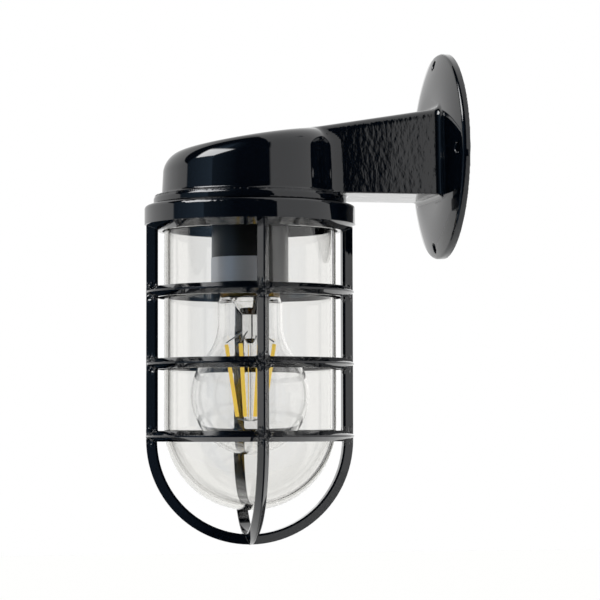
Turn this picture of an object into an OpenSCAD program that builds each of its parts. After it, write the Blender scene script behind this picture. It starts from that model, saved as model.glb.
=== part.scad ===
// Bulkhead wall light: a cast head on an arm, a glass globe and a screw-on cage guard.
// Origin at the centre of the wall plate's back face, wall plane Y = 0, room towards -Y, +Z up.
// Lengths in millimetres, angles in degrees.

/* [Wall plate] */
// Diameter of the wall plate
plate_d = 105; // [100:1:130]
// Thickness of the wall plate at its flat middle
plate_t = 8; // [7:0.5:10]
// Width of the border that falls away to the plate's rim
plate_border = 22.5; // [16:0.5:24]
// Height of the plate's rim
plate_rim = 4; // [3:0.2:5]
// Rounding of the plate's rim
plate_edge_r = 1; // [0.5:0.1:1.5]
// Distance from the plate's edge to the centre of a fixing hole
hole_inset = 5.3; // [4.5:0.1:5.6]
// Diameter of a fixing hole
hole_d = 5; // [4:0.1:5.5]
// Diameter of the hollow in the plate's back
recess_d = 76; // [70:1:78]
// Depth of the hollow in the plate's back
recess_depth = 3.5; // [2:0.5:4]

/* [Arm] */
// Distance from the wall to the lamp's axis
reach = 102; // [98:1:130]
// Width of the arm at its flat underside
arm_w = 52; // [42:1:54]
// Depth of the arm's flat underside below the plate's centre
arm_drop = 21.8; // [20:0.2:26]
// Slope of the arm's top and of the head's crown
top_tilt = 9.5; // [8:0.1:12]
// Height of the arm's sloping top, taken square to the slope from the plate's centre line at the lamp's axis
arm_top = 6.8; // [6:0.2:8.4]
// Draft angle of the arm's sides and of the head's wall
draft = 3.2; // [1:0.1:4]
// Rounding of the arm's top edges
arm_edge_r = 4.5; // [2:0.5:5]
// Fillet between the arm and the plate
plate_fillet_r = 3; // [2:0.5:5]
// Fillet between the arm and the head at the underside
head_fillet_r = 7.5; // [6:0.5:14]

/* [Head] */
// Diameter of the head's wall at its foot
head_d = 89.4; // [88:0.2:91]
// Height of the crown, taken square to the slope from the plate's centre line
crown_top = 8.4; // [8:0.2:12]
// Radius of the crown's dome
crown_r = 310; // [200:10:500]
// Rounding of the head's shoulder
shoulder_r = 9.6; // [9.6:0.2:15]
// Wall thickness of the casting
wall = 4; // [3:0.2:4.6]
// Diameter of the rim between head and guard
rim_d = 97.4; // [96.4:0.2:99]
// Height of the rim between head and guard
rim_h = 4.9; // [4:0.1:7]
// Rounding of the rim's top edge
rim_edge_r = 2.4; // [0.5:0.1:3]
// Length of the threaded skirt below the rim
skirt_h = 6.6; // [6:0.2:9]

/* [Globe] */
// Outer diameter of the glass globe
globe_d = 87.4; // [82:0.2:88]
// Wall thickness of the glass
glass_t = 2.7; // [2:0.1:4]
// Length of the globe from its flange to its bottom
globe_l = 146.3; // [142:0.1:160]
// Thickness of the globe's flange
flange_t = 2.5; // [2:0.1:4]
// Thickness of the gasket on the flange
gasket_t = 1.5; // [1:0.1:2.5]

/* [Guard] */
// Outer diameter of the guard's collar
collar_d = 107.2; // [105.8:0.2:112]
// Rounding of the collar's top edge
collar_edge_r = 2; // [1:0.1:2.5]
// Thickness of the lip that carries the globe
lip_t = 2.6; // [2:0.1:4]
// Clearance between the globe and the guard's bars
cage_gap = 3.5; // [2:0.1:3.6]
// Depth of a bar from its flat back to the foot of its roof
bar_depth = 1.4; // [1:0.1:3]
// Height of a bar's roof from its foot to its ridge
roof_h = 4.2; // [1.5:0.1:4.4]
// Width of a bar's ridge
ridge_w = 0.8; // [0.4:0.1:1.5]
// Width of an upright bar
rib_w = 5.7; // [4:0.1:7]
// Height of a ring
ring_w = 5.4; // [4:0.1:7]
// Rounding of the windows' corners
window_r = 1.3; // [0.5:0.1:2]
// Clearance below the globe's bottom
dome_gap = 11.6; // [8:0.1:16]
// Number of rings round the guard
ring_count = 3; // [2:1:3]
// Distance between rings
ring_pitch = 36.35; // [30:0.05:37]
// Height of the lowest ring above the centre of the guard's dome
ring_lift = 1.9; // [0:0.1:4]
// Angle at which the tightened guard stops
guard_stop_angle = -2.4; // [-20:0.2:20]

/* [Lampholder and bulb] */
// Diameter of the lampholder
holder_d = 39; // [38:0.2:42]
// Length of the lampholder's lower sleeve
holder_skirt_l = 37.5; // [36:0.5:42]
// Length of the lampholder's domed cap
holder_cap_l = 18; // [16:0.5:22]
// Height of the blank foil band round the lampholder
band_h = 12.5; // [8:0.5:16]
// Diameter of the bulb
bulb_d = 60; // [52:1:62]
// Length of the bulb with its cap
bulb_l = 107; // [104:1:112]
// Diameter of the bulb's neck
bulb_neck_d = 33; // [32:0.2:36]
// Length of a light filament
filament_l = 36.8; // [28:0.2:38]
// Number of filaments
filament_count = 4; // [2:1:6]

/* [Hidden] */
$fn = 96;
eps = 0.02;
far = 200;
// Length by which a cut passes a face
over = 1;
// Clearance between pieces that move on each other
run_gap = 0.3;
// Clearance round pieces that are fixed in each other
fit_gap = 0.05;

plate_r = plate_d / 2;
hole_r = hole_d / 2;
hole_pitch_r = plate_r - hole_inset;
plate_flat_r = plate_r - plate_border;
border_drop = plate_t - plate_rim;
border_r = (plate_border * plate_border + border_drop * border_drop) / (2 * border_drop);
seal_w = 2.4;
seal_t = 1.6;
seal_land = 1.2;
seal_r = recess_d / 2 + seal_land;

head_r = head_d / 2;
// Height from which the head is cut to its crown
head_h = 60;
arm_half = arm_w / 2;
arm_floor = -arm_drop;
rim_r = rim_d / 2;
rim_top = arm_floor;
rim_end = rim_top - rim_h;
collar_top = rim_end - run_gap;
skirt_r = rim_r - run_gap;
skirt_end = rim_end - skirt_h;
skirt_bore_r = rim_r - wall;
bore_land = 2;
bore_end = rim_top - bore_land;
cavity_r = head_r - wall;
tilt_c = cos(top_tilt);
tilt_s = sin(top_tilt);
// Thickness of the arm's sides
arm_side_t = 7;
channel_half = arm_half - arm_side_t;
channel_floor = arm_floor + wall;
// Angle in plan of the arm's top edges, which draw together as the arm grows higher
edge_turn = atan(tilt_s * tan(draft));
// Lean of the arm's sides in a section square to its top edges
edge_lean = atan(tan(draft) * tilt_c * cos(edge_turn));
// Half width of the arm's top at the lamp's axis, before its edges are rounded
edge_half = (arm_half - (arm_top * tilt_c - arm_floor) * tan(draft)) * cos(edge_turn);

// Height of the arm's sloping top at a distance from the lamp's axis
function arm_top_at(u) = (arm_top + u * tilt_s) / tilt_c;

globe_r = globe_d / 2;
globe_top = skirt_end - gasket_t;
flange_end = globe_top - flange_t;
globe_bottom = globe_top - globe_l;
globe_centre = globe_bottom + globe_r;
collar_r = collar_d / 2;
collar_bore_r = rim_r;
flange_clear = 1.1;
flange_r = rim_r - flange_clear;
lip_clear = 0.8;
lip_r = globe_r + lip_clear;
collar_end = flange_end - lip_t;
collar_foot = 0.5;
collar_wall_end = flange_end + collar_foot;
lip_face_w = 2.3;
slope_r = lip_r + lip_face_w;

cage_r = globe_r + cage_gap;
roof_r = cage_r + bar_depth;
ridge_r = roof_r + roof_h;
cage_centre = globe_bottom - dome_gap + cage_r;
ring_low = cage_centre + ring_lift;
// Height of the nub where the dome's ridges cross
nub_h = 0.1;

holder_r = holder_d / 2;
bracket_t = 1.6;
bracket_w = 14;
bracket_post_x = 28;
bracket_post_r = 5;
bracket_lift = 8.4;
bracket_top = arm_floor + bracket_lift;
bracket_low = bracket_top - bracket_t;
// Depth by which the posts sink into the crown
post_sink = 1.1;
post_top = crown_top - wall + post_sink;
holder_split = bracket_low - fit_gap - holder_cap_l;
holder_end = holder_split - holder_skirt_l;
holder_wall = 2.4;
cap_neck_r = 9;
cap_crown_t = 4;
holder_step_drop = 12;
holder_step = holder_split - holder_step_drop;
band_lift = 4.5;
band_t = 0.25;
band_sweep = 180;
band_turn = -172.5;
mouth_land = 1;
mouth_r = holder_r - holder_wall - mouth_land;
nipple_r = 5;
nipple_bore_r = 3.4;
nipple_below = 5;
nipple_low = bracket_low - nipple_below;
nipple_above = 5.4;
nipple_top = bracket_top + nipple_above;
nut_h = 4;
nut_across = 14;
nut_sides = 6;
block_r = holder_r - holder_wall - fit_gap;
block_h = 8;
block_top = holder_step + block_h;
block_bore_r = 1.6;

cap_r = 13.2;
shell_r = cap_r + run_gap;
shell_t = 0.7;
shell_sink = 1.5;
shell_hole_r = 9;
cap_show = 2.7;
cap_end = holder_end - cap_show;
cap_l = 27.2;
cap_top = cap_end + cap_l;
foot_h = 4.2;
thread_top = cap_top - foot_h;
foot_r = 6;
foot_land = 1;
tip_h = 1;
tip_r = 5;
cap_t = 0.5;
cap_hole_r = 3;
cap_skirt_h = 1.8;
cap_flare_h = 3.4;
cap_flare_r = 15.3;
bulb_r = bulb_d / 2;
bulb_bottom = cap_top - bulb_l;
bulb_centre = bulb_bottom + bulb_r;
neck_r = bulb_neck_d / 2;
neck_fillet_r = 25;
neck_end = bulb_centre + sqrt(pow(bulb_r + neck_fillet_r, 2) - pow(neck_r + neck_fillet_r, 2));
bulb_glass_t = 0.8;
neck_foot_h = 3;
neck_foot_gap = 0.4;
filament_top_r = 13;
filament_low_r = 7;
filament_r = 1;
filament_fall = sqrt(pow(filament_l, 2) - pow(filament_top_r - filament_low_r, 2));
filament_turn = 31;
stem_r = 4;
stem_drop = 19.7;
stem_taper = 4;
stem_flare_h = 8;
stem_flare_gap = 6;
stem_end = cap_end - stem_drop;
filament_sink = 4.5;
filament_top = stem_end - filament_sink;
filament_low = filament_top - filament_fall;
rod_over = 2.5;
rod_r = 1.5;
rod_end = filament_low - rod_over;
wire_r = 0.35;
wire_lift = 2;
wire_foot = 0.5;

terminal_y = -31;
terminal_l = 18;
terminal_w = 30;
terminal_h = 13;
terminal_pitch = 10;
terminal_boss_h = 3.5;
terminal_low = channel_floor + terminal_boss_h;
terminal_top = terminal_low + terminal_h;
terminal_mid = terminal_low + terminal_h / 2;
tube_r = 2.2;
tube_bore_r = 1.45;
tube_inset = 1;
tube_l = terminal_l - 2 * tube_inset;
clamp_r = 1.4;
clamp_offset = 5.5;
clamp_sink = 1;
lead_r = 1;
boss_r = 4.5;
fixing_x = terminal_pitch / 2;
fixing_r = 1.5;
fixing_head_r = 2.7;
fixing_head_h = 1.8;
earth_x = -terminal_pitch;
earth_y = -62;
screw_r = 2;
bracket_screw_l = 12;
bracket_head_r = 3.8;
bracket_head_h = 2.6;
tag_t = 0.8;
tag_l = 8;
tag_w = 3.2;
screw_depth = 5.5;
screw_tip_gap = 0.5;
earth_head_r = 3.6;
earth_head_h = 2.2;
holder_terminal_x = 8;
holder_terminal_w = 5;
holder_terminal_h = 5;
holder_terminal_l = 6;
holder_screw_l = 3.6;
leaf_t = 0.4;
leaf_l = 12;
leaf_w = 5;
pin_r = 1.5;
rivet_r = 3;
rivet_h = 1;
holder_screw_r = 1.3;
lead_bore_r = 1.15;
lead_bore_depth = 3.5;
// Bends of the leads: height of their feet, reach into a terminal, and the way up, over and along the arm
lead_foot = 2.2;
lead_end = 2;
lead_straight = 6;
lead_rise = 7;
lead_lean = 4.6;
lead_side = 1.3;
lead_turn = 5;
lead_turn_side = 1.8;
lead_turn_y = 3;
lead_crest = 6.5;
lead_crest_side = 3;
lead_crest_y = 14;
lead_sag = 4;
tag_grip = 2.5;
tag_past = 1;

paint = [0.02, 0.03, 0.06];
glass = [0.9, 0.93, 0.92, 0.3];
brass = [0.78, 0.62, 0.3];
steel = [0.75, 0.76, 0.78];
black = [0.05, 0.05, 0.05];

// Moves children to the lamp's axis
module at_lamp() {
    translate([0, -reach, 0]) children();
}

// Moves children to the lamp's axis, in the frame of the sloping top
module at_slope() {
    at_lamp() rotate([top_tilt, 0, 0]) children();
}

// Turns a profile of radius and height round the lamp's axis
module turned() {
    at_lamp() rotate_extrude() children();
}

// A tube or ring round the lamp's axis
module ring(outer, inner, low, high) {
    turned() translate([inner, low]) square([outer - inner, high - low]);
}

// A round rod between two points
module rod(from, to, r) {
    way = to - from;
    length = norm(way);
    translate(from) rotate([0, acos(way[2] / length), atan2(way[1], way[0])]) cylinder(h = length, r = r);
}

// Extrudes a profile of Y and Z along X, centred
module across(width) {
    translate([-width / 2, 0, 0]) rotate([90, 0, 90]) linear_extrude(width) children();
}

// The hollow corner that a fillet fills, with its corner at the origin and its back sunk in both faces
module fillet(r) {
    difference() {
        translate([-over, -over]) square(r + over);
        translate([r, r]) circle(r);
    }
}

// Half outline of the crowned head in the frame of the sloping top, with its apex at the origin.
// Below the shoulder the side leans out, so that it stands along the drafted wall at the lamp's front.
module crown_outline(side_r, edge_r, depth) {
    edge_x = side_r - edge_r;
    edge_y = sqrt(pow(crown_r - edge_r, 2) - edge_x * edge_x) - crown_r;
    crown_x = edge_x * crown_r / (crown_r - edge_r);
    lean = top_tilt + draft;
    side_x = edge_x + edge_r * cos(lean);
    side_y = edge_y + edge_r * sin(lean);
    intersection() {
        translate([0, -crown_r]) circle(crown_r, $fn = 360);
        translate([0, -depth]) square([crown_x, depth]);
    }
    intersection() {
        translate([edge_x, edge_y]) circle(edge_r);
        translate([0, -depth]) square([far, depth]);
    }
    foot = [side_x + depth * tan(lean), side_y - depth];
    polygon([[0, side_y], [side_x, side_y], foot, [0, foot[1]]]);
}

// Head with its drafted wall and its sloping crown, shrunk by an inset
module head_form(inset, low) {
    intersection() {
        at_lamp() translate([0, 0, low])
            cylinder(h = head_h, r1 = head_r - inset, r2 = head_r - inset - head_h * tan(draft));
        at_slope() translate([0, 0, crown_top - inset])
            rotate_extrude() crown_outline(head_r + over - inset, shoulder_r - inset, head_h);
    }
}

// Section of the arm square to one of its top edges, with that edge rounded
module arm_section() {
    edge_x = edge_half - arm_edge_r * (1 - sin(edge_lean)) / cos(edge_lean);
    side = [edge_x + arm_edge_r * cos(edge_lean), arm_edge_r * sin(edge_lean) - arm_edge_r];
    depth = far / 2;
    polygon([[-far, 0], [edge_x, 0], side, side + depth * [tan(edge_lean), -1], [-far, side[1] - depth]]);
    translate([edge_x, -arm_edge_r]) circle(arm_edge_r);
}

// Everything under the sloping top and inside one side of the arm
module arm_side() {
    at_slope() rotate(edge_turn) translate([0, far, arm_top]) rotate([90, 0, 0])
        linear_extrude(2 * far) arm_section();
}

// Arm from the lamp's axis to the plate
module arm_form() {
    intersection() {
        translate([-far / 2, -reach, arm_floor]) cube([far, reach - eps, far]);
        arm_side();
        mirror([1, 0, 0]) arm_side();
    }
}

// Hollow of the arm, open at the plate's back
module arm_channel() {
    intersection() {
        translate([-channel_half, -reach, channel_floor]) cube([2 * channel_half, reach + over, far]);
        at_slope() translate([-far / 2, -far, arm_top - wall - far]) cube([far, 2 * far, far]);
    }
}

// Fillets in plan between the head's wall and the sides of the arm
module arm_root() {
    root_x = arm_half + head_fillet_r;
    root = [root_x, sqrt(pow(head_r + head_fillet_r, 2) - root_x * root_x)];
    root_top = arm_top - arm_edge_r;
    height = arm_top_at(reach) - arm_floor;
    cut_h = height + over;
    intersection() {
        at_lamp() translate([0, 0, arm_floor]) for (side = [0, 1]) mirror([side, 0]) difference() {
            linear_extrude(height) polygon([[0, 0], root, [0, root[1]]]);
            translate([root[0], root[1], 0])
                cylinder(h = cut_h, r1 = head_fillet_r, r2 = head_fillet_r + cut_h * tan(draft));
        }
        at_slope() translate([-far / 2, -far / 2, root_top - far]) cube([far, 2 * far, far]);
    }
}

// Fillets round the arm where it meets the plate
module plate_fillets() {
    r = plate_fillet_r;
    face = -plate_t;
    side_l = arm_top_at(reach + face) - arm_edge_r - arm_floor;
    for (side = [0, 1]) mirror([side, 0]) translate([arm_half, face, arm_floor]) rotate([0, -draft, 0])
        mirror([0, 1]) linear_extrude(side_l) fillet(r);
    across(arm_w) translate([face, arm_floor]) rotate(180) fillet(r);
    foot = [face - r, arm_top_at(reach + face - r) + r / tilt_c];
    touch = foot + r * [tilt_s, -tilt_c];
    top_w = 2 * (arm_half - (side_l + arm_edge_r) * tan(draft) - arm_edge_r);
    across(top_w) difference() {
        polygon([[face, touch[1] - r], [face, foot[1]], foot, touch, touch - [0, r]]);
        translate(foot) circle(r);
    }
}

// Outline of the wall plate in radius and height above the wall
module plate_outline() {
    border_y = plate_t - border_r;
    edge_x = plate_r - plate_edge_r;
    edge_out = edge_x - plate_flat_r;
    edge_way = [edge_out, sqrt(pow(border_r - plate_edge_r, 2) - edge_out * edge_out)];
    edge_y = border_y + edge_way[1];
    touch_x = edge_x + plate_edge_r * edge_way[0] / norm(edge_way);
    square([plate_flat_r, plate_t]);
    square([plate_r, edge_y]);
    translate([edge_x, edge_y]) circle(plate_edge_r);
    intersection() {
        translate([plate_flat_r, border_y]) circle(border_r, $fn = 180);
        square([touch_x, plate_t]);
    }
}

// Rim under the head, with the skirt that the guard screws on
module rim_and_skirt() {
    turned() difference() {
        union() {
            translate([0, skirt_end]) square([skirt_r, rim_end - skirt_end + eps]);
            translate([0, rim_end]) square([rim_r, rim_h - rim_edge_r]);
            translate([0, rim_end]) square([rim_r - rim_edge_r, rim_h]);
            translate([rim_r - rim_edge_r, rim_top - rim_edge_r]) circle(rim_edge_r);
        }
        translate([0, skirt_end - over]) square([skirt_bore_r, bore_end - skirt_end + over]);
        square([2 * cavity_r, far], center = true);
    }
}

module head_casting() {
    color(paint) difference() {
        union() {
            difference() {
                union() {
                    head_form(0, arm_floor);
                    arm_form();
                    arm_root();
                    plate_fillets();
                    rotate([90, 0, 0]) rotate_extrude() plate_outline();
                }
                head_form(wall, arm_floor - over);
                arm_channel();
                rotate([90, 0, 0]) translate([0, 0, -over])
                    cylinder(h = recess_depth + over, r = recess_d / 2);
            }
            rim_and_skirt();
            for (side = [-1, 1])
                at_lamp() translate([side * bracket_post_x, 0, bracket_top])
                    cylinder(h = post_top - bracket_top, r = bracket_post_r);
            for (place = [[fixing_x, terminal_y], [earth_x, earth_y]])
                translate([place[0], place[1], channel_floor - over])
                    cylinder(h = terminal_boss_h + over, r = boss_r);
        }
        for (turn = [0 : 90 : 270])
            rotate([0, turn, 0]) translate([0, over, hole_pitch_r]) rotate([90, 0, 0])
                cylinder(h = plate_t + 2 * over, r = hole_r);
        rotate([90, 0, 0]) translate([0, 0, -over]) difference() {
            cylinder(h = seal_t + over, r = seal_r + seal_w);
            translate([0, 0, -over]) cylinder(h = seal_t + 3 * over, r = seal_r);
        }
        for (side = [-1, 1])
            at_lamp() translate([side * bracket_post_x, 0, bracket_top - over])
                cylinder(h = bracket_screw_l + over, r = screw_r + fit_gap);
        translate([fixing_x, terminal_y, terminal_low - screw_depth])
            cylinder(h = screw_depth + over, r = fixing_r + fit_gap);
        translate([earth_x, earth_y, terminal_low - screw_depth])
            cylinder(h = screw_depth + over, r = screw_r + fit_gap);
    }
}

module wall_seal() {
    color(black) rotate([90, 0, 0]) difference() {
        cylinder(h = seal_t, r = seal_r + seal_w - fit_gap);
        translate([0, 0, -over]) cylinder(h = seal_t + 2 * over, r = seal_r + fit_gap);
    }
}

// Half outline of the globe, shrunk by an inset
module globe_outline(inset, top) {
    intersection() {
        translate([0, globe_centre]) circle(globe_r - inset);
        translate([0, globe_bottom]) square([globe_r, globe_r]);
    }
    translate([0, globe_centre]) square([globe_r - inset, top - globe_centre]);
}

module globe() {
    color(glass) turned() difference() {
        union() {
            globe_outline(0, globe_top);
            translate([0, flange_end]) square([flange_r, flange_t]);
        }
        globe_outline(glass_t, globe_top + over);
    }
}

module globe_gasket() {
    color(black) ring(flange_r, skirt_bore_r, globe_top, skirt_end);
}

// Roof over a bar's front, in radius and width
module roof_section(width) {
    polygon([
        [roof_r - over, -width / 2], [roof_r, -width / 2], [ridge_r, -ridge_w / 2],
        [ridge_r, ridge_w / 2], [roof_r, width / 2], [roof_r - over, width / 2]
    ]);
}

// Side of one window between two rings, with rounded corners at the upright bar
module window_side(low, high) {
    near = rib_w / 2;
    translate([near + window_r, low]) square([far, high - low]);
    translate([near, low + window_r]) square([far, high - low - 2 * window_r]);
    for (corner = [low + window_r, high - window_r])
        translate([near + window_r, corner]) circle(window_r);
}

// Windows of one row, cut through the guard's wall between its upright bars
module window_row(low, high) {
    for (turn = [0 : 90 : 270])
        rotate(turn) intersection() {
            rotate([90, 0, 0]) translate([0, 0, -far]) linear_extrude(far) window_side(low, high);
            rotate([90, 0, 90]) linear_extrude(far) window_side(low, high);
        }
}

// Collar that screws on the skirt, with the lip that carries the globe
module guard_collar() {
    edge = collar_edge_r;
    rotate_extrude() difference() {
        union() {
            polygon([
                [lip_r, collar_end], [slope_r, collar_end], [collar_r, collar_wall_end],
                [collar_r, collar_top - edge], [collar_r - edge, collar_top], [lip_r, collar_top]
            ]);
            translate([collar_r - edge, collar_top - edge]) circle(edge);
        }
        translate([0, flange_end]) square([collar_bore_r, far]);
    }
}

// Bars of the guard, without its collar
module cage() {
    ring_heights = [for (index = [0 : ring_count - 1]) ring_low + index * ring_pitch];
    cage_low = ring_low - ring_w / 2;
    bars_top = flange_end - lip_t / 2;
    arch_inset = 0.3;
    difference() {
        translate([0, 0, cage_low]) cylinder(h = bars_top - cage_low, r = roof_r);
        translate([0, 0, cage_low - over]) cylinder(h = bars_top - cage_low + 2 * over, r = cage_r);
        for (height = ring_heights) {
            next = height < max(ring_heights) ? height + ring_pitch - ring_w / 2 : bars_top + lip_t;
            window_row(height + ring_w / 2, next);
        }
    }
    for (height = ring_heights)
        translate([0, 0, height]) rotate_extrude() roof_section(ring_w);
    for (turn = [0 : 90 : 270])
        rotate(turn) translate([0, 0, cage_centre])
            linear_extrude(flange_end - eps - cage_centre) roof_section(rib_w);
    for (turn = [0, 90])
        rotate(turn) translate([0, 0, cage_centre]) rotate([90, 180, 0]) rotate_extrude(angle = 180) {
            roof_section(rib_w);
            translate([cage_r + arch_inset, -rib_w / 2]) square([bar_depth - arch_inset, rib_w]);
        }
    translate([0, 0, cage_centre - ridge_r - nub_h]) cylinder(h = roof_h, r = ridge_w);
}

module guard() {
    color(paint) at_lamp() rotate(guard_stop_angle) {
        guard_collar();
        cage();
    }
}

module holder_bracket() {
    color(steel) at_lamp() difference() {
        union() {
            translate([-bracket_post_x, -bracket_w / 2, bracket_low])
                cube([2 * bracket_post_x, bracket_w, bracket_t]);
            for (side = [-1, 1])
                translate([side * bracket_post_x, 0, bracket_low]) cylinder(h = bracket_t, r = bracket_w / 2);
        }
        translate([0, 0, bracket_low - over]) cylinder(h = bracket_t + 2 * over, r = nipple_r + fit_gap);
        for (side = [-1, 1])
            translate([side * bracket_post_x, 0, bracket_low - over])
                cylinder(h = bracket_t + 2 * over, r = screw_r + fit_gap);
    }
}

// Pan-head screw that points up from the seat of its head, or down when flipped
module pan_screw(r, length, head_screw_r, head_h) {
    cylinder(h = length, r = r);
    difference() {
        translate([0, 0, -head_h]) cylinder(h = head_h, r = head_screw_r);
        translate([-head_screw_r, -r / 4, -head_h - over]) cube([2 * head_screw_r, r / 2, over + head_h / 2]);
    }
}

module bracket_screws() {
    color(steel) for (side = [-1, 1])
        at_lamp() translate([side * bracket_post_x, 0, bracket_low]) 
            pan_screw(screw_r, bracket_screw_l, bracket_head_r, bracket_head_h);
}

module holder_nipple() {
    color(brass) ring(nipple_r, nipple_bore_r, nipple_low, nipple_top);
}

module nipple_nut() {
    color(brass) at_lamp() translate([0, 0, bracket_top]) difference() {
        cylinder(h = nut_h, r = nut_across / 2 / cos(180 / nut_sides), $fn = nut_sides);
        translate([0, 0, -over]) cylinder(h = nut_h + 2 * over, r = nipple_r + fit_gap);
    }
}

// Domed cap of the lampholder, hung on the nipple
module holder_cap() {
    top = holder_split + holder_cap_l;
    round_r = holder_r - cap_neck_r;
    color(black) turned() difference() {
        union() {
            translate([0, holder_split]) square([holder_r, holder_cap_l - round_r]);
            translate([0, holder_split]) square([cap_neck_r, holder_cap_l]);
            intersection() {
                translate([cap_neck_r, top - round_r]) circle(round_r);
                translate([cap_neck_r, top - round_r]) square(round_r);
            }
        }
        translate([0, holder_split - over]) square([holder_r - holder_wall, holder_cap_l - round_r + over]);
        intersection() {
            translate([cap_neck_r, top - round_r]) circle(round_r - holder_wall);
            translate([0, top - round_r - eps]) square([holder_r, round_r]);
        }
        translate([0, holder_split]) square([cap_neck_r, holder_cap_l - cap_crown_t]);
        translate([0, holder_split]) square([nipple_r + fit_gap, holder_cap_l + over]);
    }
}

module holder_skirt() {
    color(black) turned() difference() {
        translate([0, holder_end]) square([holder_r, holder_skirt_l]);
        translate([0, holder_step]) square([holder_r - holder_wall, far]);
        translate([0, holder_end - over]) square([mouth_r, far]);
    }
}

module holder_band() {
    color(steel) at_lamp() rotate(band_turn) rotate_extrude(angle = band_sweep)
        translate([holder_r + fit_gap, holder_end + band_lift]) square([band_t - fit_gap, band_h]);
}

module contact_block() {
    color([0.9, 0.88, 0.82]) ring(block_r, block_bore_r, holder_step, block_top);
}

module screw_shell() {
    color(brass) turned() {
        translate([shell_r, holder_end + shell_sink])
            square([shell_t, holder_step - holder_end - shell_sink]);
        translate([shell_hole_r, holder_step - shell_t]) square([shell_r - shell_hole_r + eps, shell_t]);
    }
}

module centre_contact() {
    low = cap_top + fit_gap;
    color(brass) at_lamp() {
        translate([0, 0, low + leaf_t]) cylinder(h = block_top + rivet_h - low - leaf_t, r = pin_r);
        translate([-leaf_l / 2, -leaf_w / 2, low]) cube([leaf_l, leaf_w, leaf_t]);
        translate([0, 0, block_top]) cylinder(h = rivet_h, r = rivet_r);
    }
}

module holder_terminals() {
    color(brass) for (side = [-1, 1])
        at_lamp() translate([side * holder_terminal_x, 0, block_top]) difference() {
            translate([-holder_terminal_w / 2, -holder_terminal_l / 2, 0])
                cube([holder_terminal_w, holder_terminal_l, holder_terminal_h]);
            translate([0, 0, holder_terminal_h - lead_bore_depth]) cylinder(h = far, r = lead_bore_r);
            translate([0, 0, holder_terminal_h / 2]) rotate([0, side * 90, 0])
                cylinder(h = far, r = holder_screw_r + fit_gap);
        }
}

module holder_screws() {
    color(steel) for (side = [-1, 1])
        at_lamp() translate([side * (holder_terminal_x + lead_bore_r), 0, block_top + holder_terminal_h / 2])
            rotate([0, side * 90, 0]) cylinder(h = holder_screw_l, r = holder_screw_r);
}

module bulb_cap() {
    color(brass) turned() difference() {
        union() {
            translate([0, cap_end]) square([cap_r, thread_top - cap_end]);
            translate([0, cap_end]) square([cap_flare_r, cap_skirt_h]);
            polygon([
                [0, cap_end + cap_skirt_h], [cap_flare_r, cap_end + cap_skirt_h],
                [cap_r, cap_end + cap_flare_h], [0, cap_end + cap_flare_h]
            ]);
        }
        translate([0, cap_end - over]) square([cap_r - cap_t, thread_top - cap_end - cap_t + over]);
        square([2 * cap_hole_r, far], center = true);
    }
}

module bulb_insulator() {
    color(black) turned() polygon([
        [0, thread_top], [cap_r - foot_land, thread_top], [foot_r, cap_top - tip_h], [0, cap_top - tip_h]
    ]);
}

module bulb_tip() {
    color(steel) ring(tip_r, 0, cap_top - tip_h, cap_top);
}

// Half outline of the bulb's glass, shrunk by an inset
module bulb_outline(inset) {
    body = bulb_r - inset;
    neck = neck_r - inset;
    curve = neck_fillet_r + inset;
    foot = cap_end - neck_foot_h - eps;
    intersection() {
        translate([0, bulb_centre]) circle(body);
        translate([0, bulb_bottom]) square(bulb_d);
    }
    translate([0, neck_end]) square([neck, cap_end - neck_end - neck_foot_h]);
    difference() {
        polygon([[0, bulb_centre], [neck + curve, neck_end], [0, neck_end]]);
        translate([neck + curve, neck_end]) circle(curve);
    }
    polygon([
        [0, foot], [neck, foot], [cap_flare_r - neck_foot_gap - inset, cap_end], [0, cap_end]
    ]);
}

module bulb_envelope() {
    color(glass) turned() difference() {
        bulb_outline(0);
        difference() {
            bulb_outline(bulb_glass_t);
            translate([0, cap_end - bulb_glass_t]) square([far, far]);
        }
    }
}

module bulb_stem() {
    flare_top = cap_end - bulb_glass_t - fit_gap;
    color(glass) turned() polygon([
        [0, rod_end], [rod_r, rod_end], [rod_r, stem_end - stem_taper], [stem_r, stem_end],
        [stem_r, flare_top - stem_flare_h], [neck_r - stem_flare_gap, flare_top], [0, flare_top]
    ]);
}

// Direction of one filament round the lamp's axis
function filament_way(index) =
    let (turn = filament_turn + index * 360 / filament_count) [sin(turn), cos(turn), 0];

module filaments() {
    color([0.95, 0.8, 0.25]) at_lamp() for (index = [0 : filament_count - 1])
        rod(filament_way(index) * filament_top_r + [0, 0, filament_top],
            filament_way(index) * filament_low_r + [0, 0, filament_low], filament_r);
}

module filament_wires() {
    color(steel) at_lamp() for (index = [0 : filament_count - 1]) {
        way = filament_way(index);
        rod(way * (stem_r + fit_gap) + [0, 0, stem_end + wire_lift],
            way * filament_top_r + [0, 0, filament_top + filament_r], wire_r);
        rod(way * (rod_r + fit_gap) + [0, 0, rod_end + wire_foot],
            way * filament_low_r + [0, 0, filament_low - filament_r], wire_r);
    }
}

// Places of the terminals across the block
terminal_places = [-terminal_pitch, 0, terminal_pitch];

module terminal_block() {
    color([0.92, 0.91, 0.88]) difference() {
        translate([-terminal_w / 2, terminal_y - terminal_l / 2, terminal_low])
            cube([terminal_w, terminal_l, terminal_h]);
        for (x = terminal_places) {
            translate([x, terminal_y - far / 2, terminal_mid]) rotate([-90, 0, 0])
                cylinder(h = far, r = tube_r + fit_gap);
            for (side = [-1, 1])
                translate([x, terminal_y + side * clamp_offset, terminal_mid])
                    cylinder(h = far, r = clamp_r + fit_gap);
        }
        translate([fixing_x, terminal_y, terminal_low - over]) cylinder(h = far, r = fixing_r + fit_gap);
    }
}

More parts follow.
